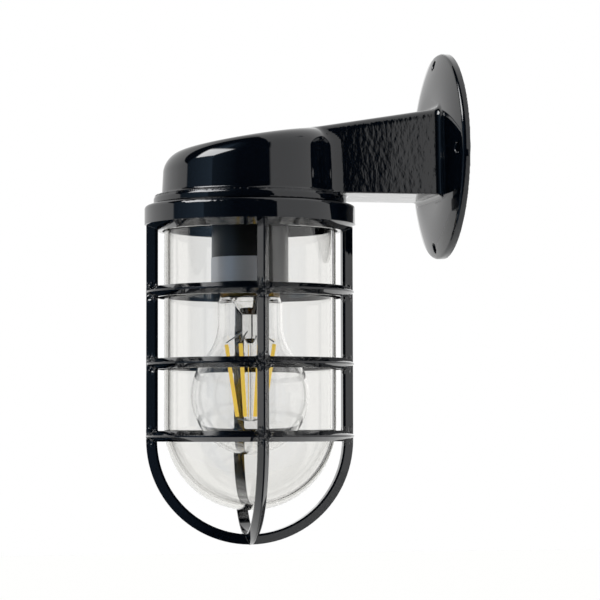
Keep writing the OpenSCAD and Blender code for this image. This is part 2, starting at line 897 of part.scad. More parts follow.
module terminal_tubes() {
    color(brass) for (x = terminal_places) difference() {
        translate([x, terminal_y - tube_l / 2, terminal_mid]) rotate([-90, 0, 0])
            cylinder(h = tube_l, r = tube_r);
        translate([x, terminal_y - far / 2, terminal_mid]) rotate([-90, 0, 0])
            cylinder(h = far, r = tube_bore_r);
        for (side = [-1, 1])
            translate([x, terminal_y + side * clamp_offset, terminal_mid])
                cylinder(h = far, r = clamp_r + fit_gap);
    }
}

module clamp_screws() {
    color(steel) for (x = terminal_places) for (side = [-1, 1])
        translate([x, terminal_y + side * clamp_offset, terminal_mid + lead_r + fit_gap])
            cylinder(h = terminal_top - terminal_mid - lead_r - clamp_sink, r = clamp_r);
}

module block_screw() {
    color(steel) translate([fixing_x, terminal_y, terminal_top]) mirror([0, 0, 1])
        pan_screw(fixing_r, terminal_h + screw_depth - screw_tip_gap, fixing_head_r, fixing_head_h);
}

module earth_tag() {
    color(steel) translate([earth_x, earth_y, terminal_low]) difference() {
        union() {
            cylinder(h = tag_t, r = boss_r);
            translate([-tag_w / 2, 0, 0]) cube([tag_w, tag_l, tag_t]);
        }
        translate([0, 0, -over]) cylinder(h = tag_t + 2 * over, r = screw_r + fit_gap);
    }
}

module earth_screw() {
    color(steel) translate([earth_x, earth_y, terminal_low + tag_t]) mirror([0, 0, 1])
        pan_screw(screw_r, screw_depth + tag_t - screw_tip_gap, earth_head_r, earth_head_h);
}

// Points along a smooth curve through the points of a route
function curve_point(a, b, c, d, t) =
    0.5 * (2 * b + (c - a) * t + (2 * a - 5 * b + 4 * c - d) * t * t + (3 * b - a - 3 * c + d) * t * t * t);
function smooth_route(route, steps) = [
    for (i = [0 : len(route) - 2], s = [0 : steps - 1])
        let (before = route[max(i - 1, 0)], after = route[min(i + 2, len(route) - 1)])
            curve_point(before, route[i], route[i + 1], after, s / steps),
    route[len(route) - 1]
];

// Tube swept along a route that never runs along X
module swept_lead(route, r, sides = 8) {
    path = smooth_route(route, 4);
    last = len(path) - 1;
    ways = [for (i = [0 : last]) path[min(i + 1, last)] - path[max(i - 1, 0)]];
    points = [
        for (i = [0 : last], s = [0 : sides - 1])
            let (
                way = ways[i] / norm(ways[i]),
                across_way = cross(way, [1, 0, 0]) / norm(cross(way, [1, 0, 0])),
                other_way = cross(across_way, way)
            )
            path[i] + r * (cos(s * 360 / sides) * across_way + sin(s * 360 / sides) * other_way)
    ];
    faces = [
        [for (s = [0 : sides - 1]) s],
        for (i = [0 : last - 1], s = [0 : sides - 1])
            let (low = i * sides, high = low + sides, next = (s + 1) % sides)
                [low + s, high + s, high + next, low + next],
        [for (s = [sides - 1 : -1 : 0]) last * sides + s]
    ];
    polyhedron(points, faces);
}

// Route of a lead from a holder terminal, up the nipple and along the arm to a terminal
function lamp_lead_route(side, x) = [
    [side * holder_terminal_x, -reach, block_top + lead_foot],
    [side * holder_terminal_x, -reach, block_top + lead_rise],
    [side * lead_lean, -reach, nipple_low - lead_straight],
    [side * lead_side, -reach, nipple_low],
    [side * lead_side, -reach, nipple_top],
    [side * lead_turn_side, lead_turn_y - reach, nipple_top + lead_turn],
    [side * lead_crest_side, lead_crest_y - reach, nipple_top + lead_crest],
    [(side * lead_crest_side + x) / 2, (lead_crest_y - reach + terminal_y) / 2, nipple_top + lead_sag],
    [x, terminal_y - terminal_l / 2 - lead_straight, terminal_mid],
    [x, terminal_y - terminal_l / 2, terminal_mid],
    [x, terminal_y - lead_end, terminal_mid]
];

module live_lead() {
    color([0.45, 0.25, 0.12]) swept_lead(lamp_lead_route(1, terminal_pitch), lead_r);
}

module neutral_lead() {
    color([0.15, 0.3, 0.65]) swept_lead(lamp_lead_route(-1, 0), lead_r);
}

module earth_lead() {
    color([0.4, 0.6, 0.15]) swept_lead([
        [earth_x, earth_y + tag_l - tag_grip, terminal_low + tag_t + lead_r + fit_gap],
        [earth_x, earth_y + tag_l + tag_past, terminal_low + tag_t + lead_r + 4 * fit_gap],
        [earth_x, terminal_y - terminal_l / 2 - lead_straight, terminal_mid - lead_r / 2],
        [earth_x, terminal_y - terminal_l / 2, terminal_mid],
        [earth_x, terminal_y - lead_end, terminal_mid]
    ], lead_r);
}

head_casting();
wall_seal();
globe();
globe_gasket();
guard();
holder_bracket();
bracket_screws();
holder_nipple();
nipple_nut();
holder_cap();
holder_skirt();
holder_band();
contact_block();
screw_shell();
centre_contact();
holder_terminals();
holder_screws();
bulb_cap();
bulb_insulator();
bulb_tip();
bulb_envelope();
bulb_stem();
filaments();
filament_wires();
terminal_block();
terminal_tubes();
clamp_screws();
block_screw();
earth_screw();
earth_tag();
live_lead();
neutral_lead();
earth_lead();
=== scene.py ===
"""Looks of a bulkhead wall light: enamelled castings, a clear globe, and a filament bulb in its lampholder.

Row frame: the wall is the plane Y = 0, the room lies towards -Y, +Z is up. Lengths of the light itself are
in millimetres, and those of the studio in metres.
"""

import math

import bpy
import numpy as np
from mathutils import Matrix, Vector


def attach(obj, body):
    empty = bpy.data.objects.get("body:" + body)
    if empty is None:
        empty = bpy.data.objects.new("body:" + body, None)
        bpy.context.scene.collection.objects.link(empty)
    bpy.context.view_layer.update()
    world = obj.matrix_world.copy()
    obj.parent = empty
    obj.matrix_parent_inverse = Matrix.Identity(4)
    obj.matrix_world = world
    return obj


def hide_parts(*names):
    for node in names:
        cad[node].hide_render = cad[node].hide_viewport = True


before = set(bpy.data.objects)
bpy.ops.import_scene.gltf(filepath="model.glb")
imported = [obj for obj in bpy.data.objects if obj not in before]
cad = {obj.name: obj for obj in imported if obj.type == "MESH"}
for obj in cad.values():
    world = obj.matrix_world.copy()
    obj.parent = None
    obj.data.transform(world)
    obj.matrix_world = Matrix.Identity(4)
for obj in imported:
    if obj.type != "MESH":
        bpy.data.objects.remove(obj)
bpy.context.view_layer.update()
scene = bpy.context.scene

MM = 0.001
DEG = math.radians(1)


# Head casting

REACH = 102.0  # wall to lamp axis
ARM_FLOOR = -21.8  # flat underside of the arm, and top of the rim
SLOPE = 9.5 * DEG  # slope of the arm's top and of the crown
DRAFT = 3.2 * DEG  # lean of the cast sides
WALL = 4.0
HEAD_R = 44.85
CROWN_TOP = 8.6
CROWN_R = 310.0
SHOULDER_R = 7.8
ARM_HALF = 26.0
ARM_TOP = 6.8
ARM_EDGE_R = 4.5
ARM_FOOT_R = 0.5
ARM_SIDE_T = 7.0
ROOT_R, ROOT_CREST_R = 5.5, 1.0  # fillet between head and arm, at its foot and at its top
ROOT_LOW, ROOT_HIGH = -4.0, 6.5  # heights between which that fillet grows tighter
RIM_R = 49.0
RIM_EDGE_R = 2.4
RIM_END = -26.9
RIM_FILLET_R = 1.5
RIM_FOOT_R = 0.6
RIM_LAP = 2.0  # depth by which the head's wall stands in the rim
SKIRT_R = 48.4
SKIRT_END = -33.3
SKIRT_BORE_R = 44.7
BORE_END = -23.8
HOLLOW_END = -24.5
PLATE_R = 52.9
PLATE_T = 8.0
PLATE_FLAT_R = 30.0
PLATE_BORDER_R = 65.28  # roundness of the border that falls away to the plate's rim
PLATE_EDGE_R = 1.0
PLATE_BACK_R = 0.4
PLATE_FILLET_R = 3.0
HOLE_R, HOLE_PITCH_R, HOLE_EDGE_R = 2.5, 47.2, 0.5
RECESS_R, RECESS_DEPTH = 38.0, 3.5
SEAL_MID_R, SEAL_HALF, SEAL_T = 40.4, 1.2, 1.6
HOLLOW_EDGE_R = 0.6  # paint softens the edges of recess and channel
POST_X, POST_R, POST_LOW, POST_TOP = 28.0, 5.0, -13.4, 5.0
PADS = ((5.0, -31.0), (-10.0, -62.0))  # places of the arm's two screw pads
PAD_R, PAD_LOW, PAD_TOP = 4.5, -19.0, -14.3
SKIN_PITCH = 0.9  # grid of the casting's mesh
SKIN_LOW, SKIN_HIGH = (-53.2, -152.0, -53.2), (53.2, 0.7, 53.2)


def round_both(a, b, r):
    """Where two forms overlap, with a rounded outer edge of radius r."""
    return np.minimum(np.maximum(a, b), -r) + np.hypot(np.maximum(a + r, 0), np.maximum(b + r, 0))


def fillet_join(a, b, r):
    """Two forms joined, with a hollow fillet of radius r."""
    return np.maximum(np.minimum(a, b), r) - np.hypot(np.maximum(r - a, 0), np.maximum(r - b, 0))


def ease(x, low, high):
    """Soft rise from 0 to 1 between two values."""
    t = np.clip((x - low) / (high - low), 0, 1)
    return t * t * (3 - 2 * t)


def head_form(x, u, z, inset):
    """Distance to the head, a drafted wall that rounds over into a sloping crown, and the height over the
    slope."""
    wall = (np.hypot(x, u) - HEAD_R + inset + (z - ARM_FLOOR) * math.tan(DRAFT)) * math.cos(DRAFT)
    along = u * math.cos(SLOPE) + z * math.sin(SLOPE)
    up = z * math.cos(SLOPE) - u * math.sin(SLOPE)
    crown = np.sqrt(x * x + along * along + (up - CROWN_TOP + CROWN_R) ** 2) - CROWN_R + inset
    return round_both(wall, crown, SHOULDER_R - inset), up


def arm_form(x, up, z):
    """Distance to the arm's sides, sloping top and flat underside."""
    side = (np.abs(x) - ARM_HALF) * math.cos(DRAFT) + (z - ARM_FLOOR) * math.sin(DRAFT)
    return round_both(round_both(side, up - ARM_TOP, ARM_EDGE_R), ARM_FLOOR - z, ARM_FOOT_R)


def plate_form(r, depth):
    """Distance to the wall plate, flat in its middle and falling away to its rim."""
    beyond = np.maximum(r - PLATE_FLAT_R, 0)
    border = np.hypot(beyond, depth - PLATE_T + PLATE_BORDER_R) - PLATE_BORDER_R
    face = np.where(r < PLATE_FLAT_R, depth - PLATE_T, border)
    return round_both(round_both(face, r - PLATE_R, PLATE_EDGE_R), -depth, PLATE_BACK_R)


def casting_outside(x, y, z, u, lamp_r, plate_r):
    """Distance to the casting before it is hollowed, and height over the slope."""
    head, up = head_form(x, u, z, 0.0)
    head = np.maximum(head, ARM_FLOOR - RIM_LAP - z)
    arm = np.maximum(arm_form(x, up, z), -u)
    root = ROOT_R + (ROOT_CREST_R - ROOT_R) * ease(up, ROOT_LOW, ROOT_HIGH)
    body = fillet_join(head, arm, root)
    rim = round_both(round_both(lamp_r - RIM_R, z - ARM_FLOOR, RIM_EDGE_R), RIM_END - z, RIM_FOOT_R)
    skirt = np.maximum(np.maximum(lamp_r - SKIRT_R, z - ARM_FLOOR), SKIRT_END - z)
    body = fillet_join(body, np.minimum(rim, skirt), RIM_FILLET_R)
    body = np.maximum(body, y + PLATE_EDGE_R)
    return np.maximum(fillet_join(body, plate_form(plate_r, -y), PLATE_FILLET_R), y), up


def casting_inside(x, y, z, u, lamp_r, plate_r, up):
    """Distance to the hollows of head, arm and plate."""
    inner, _ = head_form(x, u, z, WALL)
    mouth = np.maximum(lamp_r - SKIRT_BORE_R, z - BORE_END)
    channel = np.maximum(np.abs(x) - ARM_HALF + ARM_SIDE_T, up - ARM_TOP + WALL)
    channel = np.maximum(channel, np.maximum(ARM_FLOOR + WALL - z, -u))
    recess = np.maximum(plate_r - RECESS_R, -RECESS_DEPTH - y)
    groove = np.maximum(np.abs(plate_r - SEAL_MID_R) - SEAL_HALF, -SEAL_T - y)
    hollow = np.minimum(np.maximum(inner, HOLLOW_END - z), mouth)
    return np.minimum(fillet_join(np.minimum(hollow, channel), recess, HOLLOW_EDGE_R), groove)


def casting_form(x, y, z):
    """Distance to the whole head casting, outside and inside."""
    u = y + REACH
    lamp_r = np.hypot(x, u)
    plate_r = np.hypot(x, z)
    solid, up = casting_outside(x, y, z, u, lamp_r, plate_r)
    to_side_hole = np.hypot(np.abs(x) - HOLE_PITCH_R, z)
    to_upright_hole = np.hypot(x, np.abs(z) - HOLE_PITCH_R)
    solid = round_both(solid, HOLE_R - np.minimum(to_side_hole, to_upright_hole), HOLE_EDGE_R)
    solid = round_both(solid, -casting_inside(x, y, z, u, lamp_r, plate_r, up), HOLLOW_EDGE_R)
    post = np.maximum(np.hypot(np.abs(x) - POST_X, u) - POST_R, np.maximum(POST_LOW - z, z - POST_TOP))
    pads = np.min([np.hypot(x - px, y - py) for px, py in PADS], axis=0) - PAD_R
    pads = np.maximum(pads, np.maximum(z - PAD_TOP, PAD_LOW - z))
    return np.minimum(solid, np.minimum(post, pads))


def skin(name, form, low, high, pitch):
    """Mesh on the surface of a form: one point to each cell that the surface crosses, set exactly on it,
    with the form's own slope as its normal."""
    axes = [np.arange(a, b + pitch, pitch) for a, b in zip(low, high)]
    depth = np.stack([form(x, *np.meshgrid(axes[1], axes[2], indexing="ij")) for x in axes[0]])
    solid = depth < 0
    corners = [solid[i:i + solid.shape[0] - 1, j:j + solid.shape[1] - 1, k:k + solid.shape[2] - 1]
               for i in (0, 1) for j in (0, 1) for k in (0, 1)]
    count = sum(c.astype(np.int8) for c in corners)
    cells = np.argwhere((count > 0) & (count < len(corners)))
    index = np.full(count.shape, -1)
    index[tuple(cells.T)] = np.arange(len(cells))
    centres = np.stack([axes[i][cells[:, i]] for i in range(3)], 1) + pitch / 2
    points = centres.copy()
    step_mm = 0.01
    flattest = 0.05  # least slope to divide by
    wander = pitch * 0.75  # how far a point may leave the middle of its cell
    rounds = 6

    def slope(p):
        steps = np.eye(3) * step_mm
        return np.stack([(form(*(p + s).T) - form(*(p - s).T)) / (2 * step_mm) for s in steps], 1)

    for _ in range(rounds):
        g = slope(points)
        size = np.maximum((g * g).sum(1), flattest)
        points = points - g * (form(*points.T) / size)[:, None]
        points = np.clip(points, centres - wander, centres + wander)
    normals = slope(points)
    normals /= np.maximum(np.linalg.norm(normals, axis=1), flattest)[:, None]

    # A quad round each grid edge that passes through the surface, turned to face outwards
    quads = []
    for axis in range(3):
        a, b = [i for i in range(3) if i != axis]
        first = np.take(solid, range(solid.shape[axis] - 1), axis)
        second = np.take(solid, range(1, solid.shape[axis]), axis)
        crossing = np.argwhere(first != second)
        keep = (crossing[:, a] > 0) & (crossing[:, b] > 0)
        keep &= (crossing[:, a] < count.shape[a]) & (crossing[:, b] < count.shape[b])
        crossing = crossing[keep]
        ring = []
        for back_a, back_b in ((1, 1), (0, 1), (0, 0), (1, 0)):
            cell = crossing.copy()
            cell[:, a] -= back_a
            cell[:, b] -= back_b
            ring.append(index[tuple(cell.T)])
        ring = np.stack(ring, 1)
        leaving = first[tuple(crossing.T)]
        turned = leaving if axis != 1 else ~leaving
        ring[~turned] = ring[~turned][:, ::-1]
        quads.append(ring)
    mesh = bpy.data.meshes.new(name)
    mesh.from_pydata((points * MM).tolist(), [], np.concatenate(quads).tolist())
    mesh.update()
    mesh.shade_smooth()
    mesh.normals_split_custom_set_from_vertices(normals.tolist())
    piece = bpy.data.objects.new(name, mesh)
    scene.collection.objects.link(piece)
    return piece


# Materials

GUARD_TURN = -2.4 * DEG  # how far the guard is turned at its stop
LOW_RING, RING_PITCH = -143.6, 36.35  # height of the guard's lowest ring, and from ring to ring


def linear(hex_colour):
    """Linear colour of an sRGB hex value."""
    parts = [int(hex_colour[i:i + 2], 16) / 255 for i in (1, 3, 5)]
    return tuple(c / 12.92 if c <= 0.04045 else ((c + 0.055) / 1.055) ** 2.4 for c in parts) + (1.0,)


def per_m(size_mm):
    """Texture scale that gives features of a size in millimetres."""
    return 1 / (size_mm * MM)


def add(tree, kind, inputs, **settings):
    """Adds a node with its settings, and with inputs that are values or links, and returns its outputs."""
    made = tree.nodes.new(kind)
    for name, value in settings.items():
        setattr(made, name, value)
    for place, value in inputs.items():
        if isinstance(value, bpy.types.NodeSocket):
            tree.links.new(value, made.inputs[place])
        else:
            made.inputs[place].default_value = value
    return made.outputs


def material(name):
    """New empty node material and its tree."""
    made = bpy.data.materials.new(name)
    made.use_nodes = True
    made.node_tree.nodes.clear()
    return made, made.node_tree


def inside(tree, edges):
    """One inside all the given edges and zero outside. An edge is a value, where it starts, and where it is
    full."""
    share = 1.0
    for value, start, full in edges:
        rise = add(tree, "ShaderNodeMapRange", {"Value": value, "From Min": start, "From Max": full},
                   interpolation_type="SMOOTHSTEP")["Result"]
        share = add(tree, "ShaderNodeMath", {0: share, 1: rise}, operation="MULTIPLY")["Value"]
    return share


def at_crossings(tree, place):
    """One where the guard's bars and rings cross, between its collar and its dome, and zero elsewhere."""
    axis = (0.0, -REACH * MM, 0.0)
    turned = add(tree, "ShaderNodeVectorRotate", {"Vector": place, "Center": axis, "Angle": -GUARD_TURN},
                 rotation_type="Z_AXIS")["Vector"]
    from_axis = add(tree, "ShaderNodeVectorMath", {0: turned, 1: axis}, operation="SUBTRACT")["Vector"]
    from_bars = add(tree, "ShaderNodeVectorMath", {0: from_axis}, operation="ABSOLUTE")["Vector"]
    sides = add(tree, "ShaderNodeSeparateXYZ", {"Vector": from_bars})
    from_bar = add(tree, "ShaderNodeMath", {0: sides["X"], 1: sides["Y"]}, operation="MINIMUM")["Value"]
    height = add(tree, "ShaderNodeSeparateXYZ", {"Vector": place})["Z"]
    over_ring = add(tree, "ShaderNodeMath", {0: height, 1: LOW_RING * MM}, operation="SUBTRACT")["Value"]
    from_ring = add(tree, "ShaderNodeMath", {0: over_ring, 1: RING_PITCH / 2 * MM},
                    operation="PINGPONG")["Value"]
    run_end, run_full = 6.0 * MM, 3.2 * MM
    at_collar, below_collar = -39.5 * MM, -41 * MM
    on_dome, above_dome = (LOW_RING - 8) * MM, (LOW_RING - 6) * MM
    return inside(tree, [(from_bar, run_end, run_full), (from_ring, run_end, run_full),
                         (height, at_collar, below_collar), (height, on_dome, above_dome)])


def stoved_enamel():
    """Stoved gloss enamel on cast aluminium: near-black navy and mirror-like. The eye sees the studio in
    it, clear on the head and the guard. It is broken up on the arm's sides, where the thick coat has run
    into orange peel, and in small lumps where the guard's bars and rings cross."""
    made, tree = material("stoved_navy_enamel")
    place = add(tree, "ShaderNodeTexCoord", {})["Object"]

    # Orange peel and slow waves lie on the arm, and hardly any elsewhere
    from_wall = add(tree, "ShaderNodeSeparateXYZ", {"Vector": place})["Y"]
    arm_start, arm_full = -63 * MM, -58 * MM
    plate_start, plate_full = -9 * MM, -12 * MM
    calm = 0.06
    on_arm = add(tree, "ShaderNodeMapRange", {"Value": from_wall, "From Min": arm_start,
                                              "From Max": arm_full, "To Min": calm},
                 interpolation_type="SMOOTHSTEP")["Result"]
    off_plate = inside(tree, [(from_wall, plate_start, plate_full)])
    peel_here = add(tree, "ShaderNodeMath", {0: on_arm, 1: off_plate}, operation="MULTIPLY")["Value"]
    drawn_down = (1.0, 1.0, 0.55)
    runs = add(tree, "ShaderNodeVectorMath", {0: place, 1: drawn_down}, operation="MULTIPLY")["Vector"]
    peel_mm, peel_depth, wave_mm, wave_depth = 2.2, 0.05 * MM, 13.0, 0.06 * MM
    peel = add(tree, "ShaderNodeTexNoise", {"Vector": runs, "Scale": per_m(peel_mm), "Detail": 2.0,
                                            "Roughness": 0.45})["Fac"]
    wave = add(tree, "ShaderNodeTexNoise", {"Vector": runs, "Scale": per_m(wave_mm), "Detail": 0.0})["Fac"]

    # Paint rounds the sharp edges, and gathers in lumps at the crossings
    paint_edge = 0.35 * MM
    lump_mm, lump_depth = 2.0, 1.6 * MM
    edges = add(tree, "ShaderNodeBevel", {"Radius": paint_edge}, samples=4)["Normal"]
    lump = add(tree, "ShaderNodeTexNoise", {"Vector": place, "Scale": per_m(lump_mm), "Detail": 1.0})["Fac"]
    waves = add(tree, "ShaderNodeBump", {"Height": wave, "Strength": peel_here, "Distance": wave_depth,
                                         "Normal": edges})["Normal"]
    peeled = add(tree, "ShaderNodeBump", {"Height": peel, "Strength": peel_here, "Distance": peel_depth,
                                          "Normal": waves})["Normal"]
    lumps = add(tree, "ShaderNodeBump", {"Height": lump, "Strength": at_crossings(tree, place),
                                         "Distance": lump_depth, "Normal": peeled})["Normal"]
    paint = add(tree, "ShaderNodeBsdfPrincipled", {"Base Color": linear("#03060c"), "Roughness": 0.04,
                                                   "IOR": 1.5, "Normal": lumps})["BSDF"]
    add(tree, "ShaderNodeOutputMaterial", {"Surface": paint})
    return made


def clear_glass(name, body, streak_mm, streak_depth_mm, dimple_mm, dimple_depth_mm):
    """Clear soda glass, pressed or blown: bright and smooth, with upright streaks and slow dimples in its
    surface that bend what is seen through it. The streaks are drawn out to five times their width and fade
    towards the rounded end. The body of the glass takes up light along the way, so that thick edges turn
    grey."""
    made, tree = material(name)
    place = add(tree, "ShaderNodeTexCoord", {})["Object"]
    drawn_out = (1.0, 1.0, 0.2)
    pulled = add(tree, "ShaderNodeVectorMath", {0: place, 1: drawn_out}, operation="MULTIPLY")["Vector"]
    streak = add(tree, "ShaderNodeTexNoise", {"Vector": pulled, "Scale": per_m(streak_mm),
                                              "Detail": 0.0})["Fac"]
    dimple = add(tree, "ShaderNodeTexNoise", {"Vector": place, "Scale": per_m(dimple_mm),
                                              "Detail": 0.0})["Fac"]
    height = add(tree, "ShaderNodeSeparateXYZ", {"Vector": place})["Z"]
    fade_end, fade_start, end_share = -150 * MM, -130 * MM, 0.3
    strength = add(tree, "ShaderNodeMapRange", {"Value": height, "From Min": fade_end,
                                                "From Max": fade_start, "To Min": end_share},
                   interpolation_type="SMOOTHSTEP")["Result"]
    streaks = add(tree, "ShaderNodeBump", {"Height": streak, "Strength": strength,
                                           "Distance": streak_depth_mm * MM})["Normal"]
    bump = add(tree, "ShaderNodeBump", {"Height": dimple, "Distance": dimple_depth_mm * MM,
                                        "Normal": streaks})["Normal"]
    glass = add(tree, "ShaderNodeBsdfPrincipled", {"Base Color": linear("#ffffff"), "Roughness": 0.0,
                                                   "IOR": 1.48, "Transmission Weight": 1.0,
                                                   "Normal": bump})["BSDF"]
    body_tint = linear("#706626")
    depth = add(tree, "ShaderNodeVolumeAbsorption", {"Color": body_tint, "Density": body})["Volume"]
    add(tree, "ShaderNodeOutputMaterial", {"Surface": glass, "Volume": depth})
    return made


def grained(name, colour, second, roughness, grain_mm, depth_mm, metallic=0.0, painted_glow=0.0):
    """Solid material with a grain in its colour and its surface, and, where it has one, a faint painted
    glow:
    light painted into a part that is no lamp. Grain that is too fine to show is drawn half a millimetre
    wide or more."""
    made, tree = material(name)
    place = add(tree, "ShaderNodeTexCoord", {})["Object"]
    grain = add(tree, "ShaderNodeTexNoise", {"Vector": place, "Scale": per_m(grain_mm),
                                             "Detail": 4.0})["Fac"]
    tint = add(tree, "ShaderNodeMix", {"Factor": grain, 6: linear(colour), 7: linear(second)},
               data_type="RGBA")[2]
    bump = add(tree, "ShaderNodeBump", {"Height": grain, "Distance": depth_mm * MM})["Normal"]
    # The emission is painted light: a glow on a part that is no lamp
    body = add(tree, "ShaderNodeBsdfPrincipled", {"Base Color": tint, "Roughness": roughness,
                                                  "Metallic": metallic, "Emission Color": linear(colour),
                                                  "Emission Strength": painted_glow, "Normal": bump})["BSDF"]
    add(tree, "ShaderNodeOutputMaterial", {"Surface": body})
    return made


enamel = stoved_enamel()
# Pressed soda glass: its thick edges turn grey, and its uneven surface bends what is seen through it
globe_glass = clear_glass("pressed_soda_glass", body=44.0, streak_mm=7.0, streak_depth_mm=0.014,
                          dimple_mm=22.0, dimple_depth_mm=0.024)
# Blown bulb glass: thin and even, so that hardly more than its outline is seen
bulb_glass = clear_glass("blown_bulb_glass", body=6.0, streak_mm=14.0, streak_depth_mm=0.006,
                         dimple_mm=30.0, dimple_depth_mm=0.01)
# Compression-moulded bakelite: black, with the dull shine of a worn mould
bakelite = grained("moulded_bakelite", "#111213", "#161718", roughness=0.36, grain_mm=0.8, depth_mm=0.004)
# Moulded rubber gives hardly any shine
rubber = grained("moulded_rubber", "#1a1a1a", "#242424", roughness=0.8, grain_mm=0.5, depth_mm=0.02)
# Rolled foil on its backing: dull silver, half metal and half lacquer to the eye
foil = grained("rolled_silver_foil", "#cdd0d6", "#c0c4cb", roughness=0.42, grain_mm=0.6, depth_mm=0.003,
               metallic=0.6)
# Zinc plate on pressed steel: bright, with small cloudy grains
zinc = grained("zinc_plated_steel", "#c4c6c9", "#a9adb3", roughness=0.3, grain_mm=1.2, depth_mm=0.004,
               metallic=1.0)
# Turned brass keeps a bright, slightly uneven shine
brass = grained("turned_brass", "#d2ab5e", "#c39a4c", roughness=0.25, grain_mm=0.7, depth_mm=0.003,
                metallic=1.0)
# The bulb's cap is drawn from bright rolled brass
cap_brass = grained("drawn_brass_cap", "#e2bb60", "#d2a74a", roughness=0.2, grain_mm=0.9, depth_mm=0.003,
                    metallic=1.0)
# Glazed ceramic: creamy white with a wet shine
ceramic = grained("glazed_ceramic", "#e9e4d6", "#e2dccb", roughness=0.2, grain_mm=2.0, depth_mm=0.004)
# Moulded nylon: milky white and half dull
nylon = grained("moulded_nylon", "#e6e3da", "#dedbd1", roughness=0.5, grain_mm=1.0, depth_mm=0.006)
# Poured black glass in the bulb's cap: dark and wet-looking
black_glass = grained("poured_black_glass", "#101012", "#18181a", roughness=0.15, grain_mm=1.0,
                      depth_mm=0.003)
# Phosphor in silicone on the light strips: strong yellow and half dull, with a painted glow that brightens
# it although the bulb is unlit
phosphor = grained("phosphor_coat", "#ffd95c", "#f8c64a", roughness=0.45, grain_mm=0.6, depth_mm=0.02,
                   painted_glow=0.6)
# Lead sleeves of extruded plastic, half dull, in their usual colours. The earth's is green and yellow
brown_sleeve = grained("brown_lead_sleeve", "#5e3a22", "#55331d", roughness=0.4, grain_mm=0.8,
                       depth_mm=0.003)
blue_sleeve = grained("blue_lead_sleeve", "#2a4d9c", "#26468f", roughness=0.4, grain_mm=0.8,
                      depth_mm=0.003)
green_sleeve = grained("green_lead_sleeve", "#5c8f2a", "#d8c93a", roughness=0.4, grain_mm=4.0,
                       depth_mm=0.003)

finishes = {
    "head_casting": enamel, "guard": enamel, "globe": globe_glass, "globe_gasket": rubber,
    "wall_seal": rubber, "holder_bracket": zinc, "bracket_screws": zinc, "holder_nipple": brass,
    "nipple_nut": brass,
    "holder_cap": bakelite, "holder_skirt": bakelite, "holder_band": foil, "contact_block": ceramic,
    "screw_shell": brass, "centre_contact": brass, "holder_terminals": brass, "holder_screws": zinc,
    "bulb_cap": cap_brass, "bulb_insulator": black_glass, "bulb_tip": zinc, "bulb_envelope": bulb_glass,
    "bulb_stem": bulb_glass, "filaments": phosphor, "filament_wires": zinc, "terminal_block": nylon,
    "terminal_tubes": brass, "clamp_screws": zinc, "block_screw": zinc, "earth_screw": zinc,
    "earth_tag": zinc, "live_lead": brown_sleeve, "neutral_lead": blue_sleeve, "earth_lead": green_sleeve,
}
for node, finish in finishes.items():
    cad[node].data.materials.clear()
    cad[node].data.materials.append(finish)

# Head casting with the soft edges and fillets of a real casting
casting = skin("head_casting_skin", casting_form, SKIN_LOW, SKIN_HIGH, SKIN_PITCH)
casting.data.materials.append(enamel)
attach(casting, "fixture")
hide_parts("head_casting")


# Studio

ALL_ROUND = 1.0  # white of the backdrop as the camera sees it
WHITE_LEVEL = 1.3  # white walls behind and beside the lamp
BOX_LEVEL = 1.28  # soft box in front of the lamp, on the camera's right
TOP_LIGHT_LEVEL = 12.0
FILL_LOW, FILL_HIGH = 0.7, 1.1  # soft light on matt surfaces, from the floor and from the ceiling
DARK_ROOM = 0.01
DIM_BLUE = (0.46, 0.70, 1.0)  # faint daylight from the dark end of the room
POLISHED, MATT = "Glossy Depth", "Diffuse Depth"  # bounces off a polished and off a matt surface


def seen_by(tree, surface):
    """One where the light goes by way of a polished or of a matt surface, and zero elsewhere."""
    bounces = add(tree, "ShaderNodeLightPath", {})[surface]
    half_a_bounce = 0.5
    return add(tree, "ShaderNodeMath", {0: bounces, 1: half_a_bounce}, operation="GREATER_THAN")["Value"]


def white_walls(tree, turn, climb):
    """Share of white in a direction, from its turn and its climb: a wall on the right, a ceiling over it,
    and a wall on the left whose edge leans back as it rises. The left wall's far end lies in shade."""
    right_start, right_full = 82 * DEG, 88 * DEG
    right_wall = inside(tree, [(turn, right_start, right_full)])
    ceiling_start, ceiling_full = 12.5 * DEG, 14.5 * DEG
    ceiling_low, ceiling_high = 48 * DEG, 56 * DEG
    ceiling = inside(tree, [(turn, ceiling_start, ceiling_full), (climb, ceiling_low, ceiling_high)])
    lean_low, lean_high = 10 * DEG, 80 * DEG
    left_edge_low, left_edge_high = 101 * DEG, 174.5 * DEG
    edge_softness = 1.5 * DEG
    edge = add(tree, "ShaderNodeMapRange", {"Value": climb, "From Min": lean_low, "From Max": lean_high,
                                            "To Min": left_edge_low, "To Max": left_edge_high})["Result"]
    left_turn = add(tree, "ShaderNodeMath", {0: turn, 1: -1.0}, operation="MULTIPLY")["Value"]
    past_edge = add(tree, "ShaderNodeMath", {0: left_turn, 1: edge}, operation="SUBTRACT")["Value"]
    left_wall = inside(tree, [(past_edge, -edge_softness, edge_softness)])
    shade_full, shade_end, shade = -165 * DEG, -125 * DEG, 0.68
    far_shade = add(tree, "ShaderNodeMapRange", {"Value": turn, "From Min": shade_full,
                                                 "From Max": shade_end, "To Min": shade})["Result"]
    left_wall = add(tree, "ShaderNodeMath", {0: left_wall, 1: far_shade}, operation="MULTIPLY")["Value"]
    walls = add(tree, "ShaderNodeMath", {0: right_wall, 1: ceiling}, operation="MAXIMUM")["Value"]
    return add(tree, "ShaderNodeMath", {0: walls, 1: left_wall}, operation="MAXIMUM")["Value"]


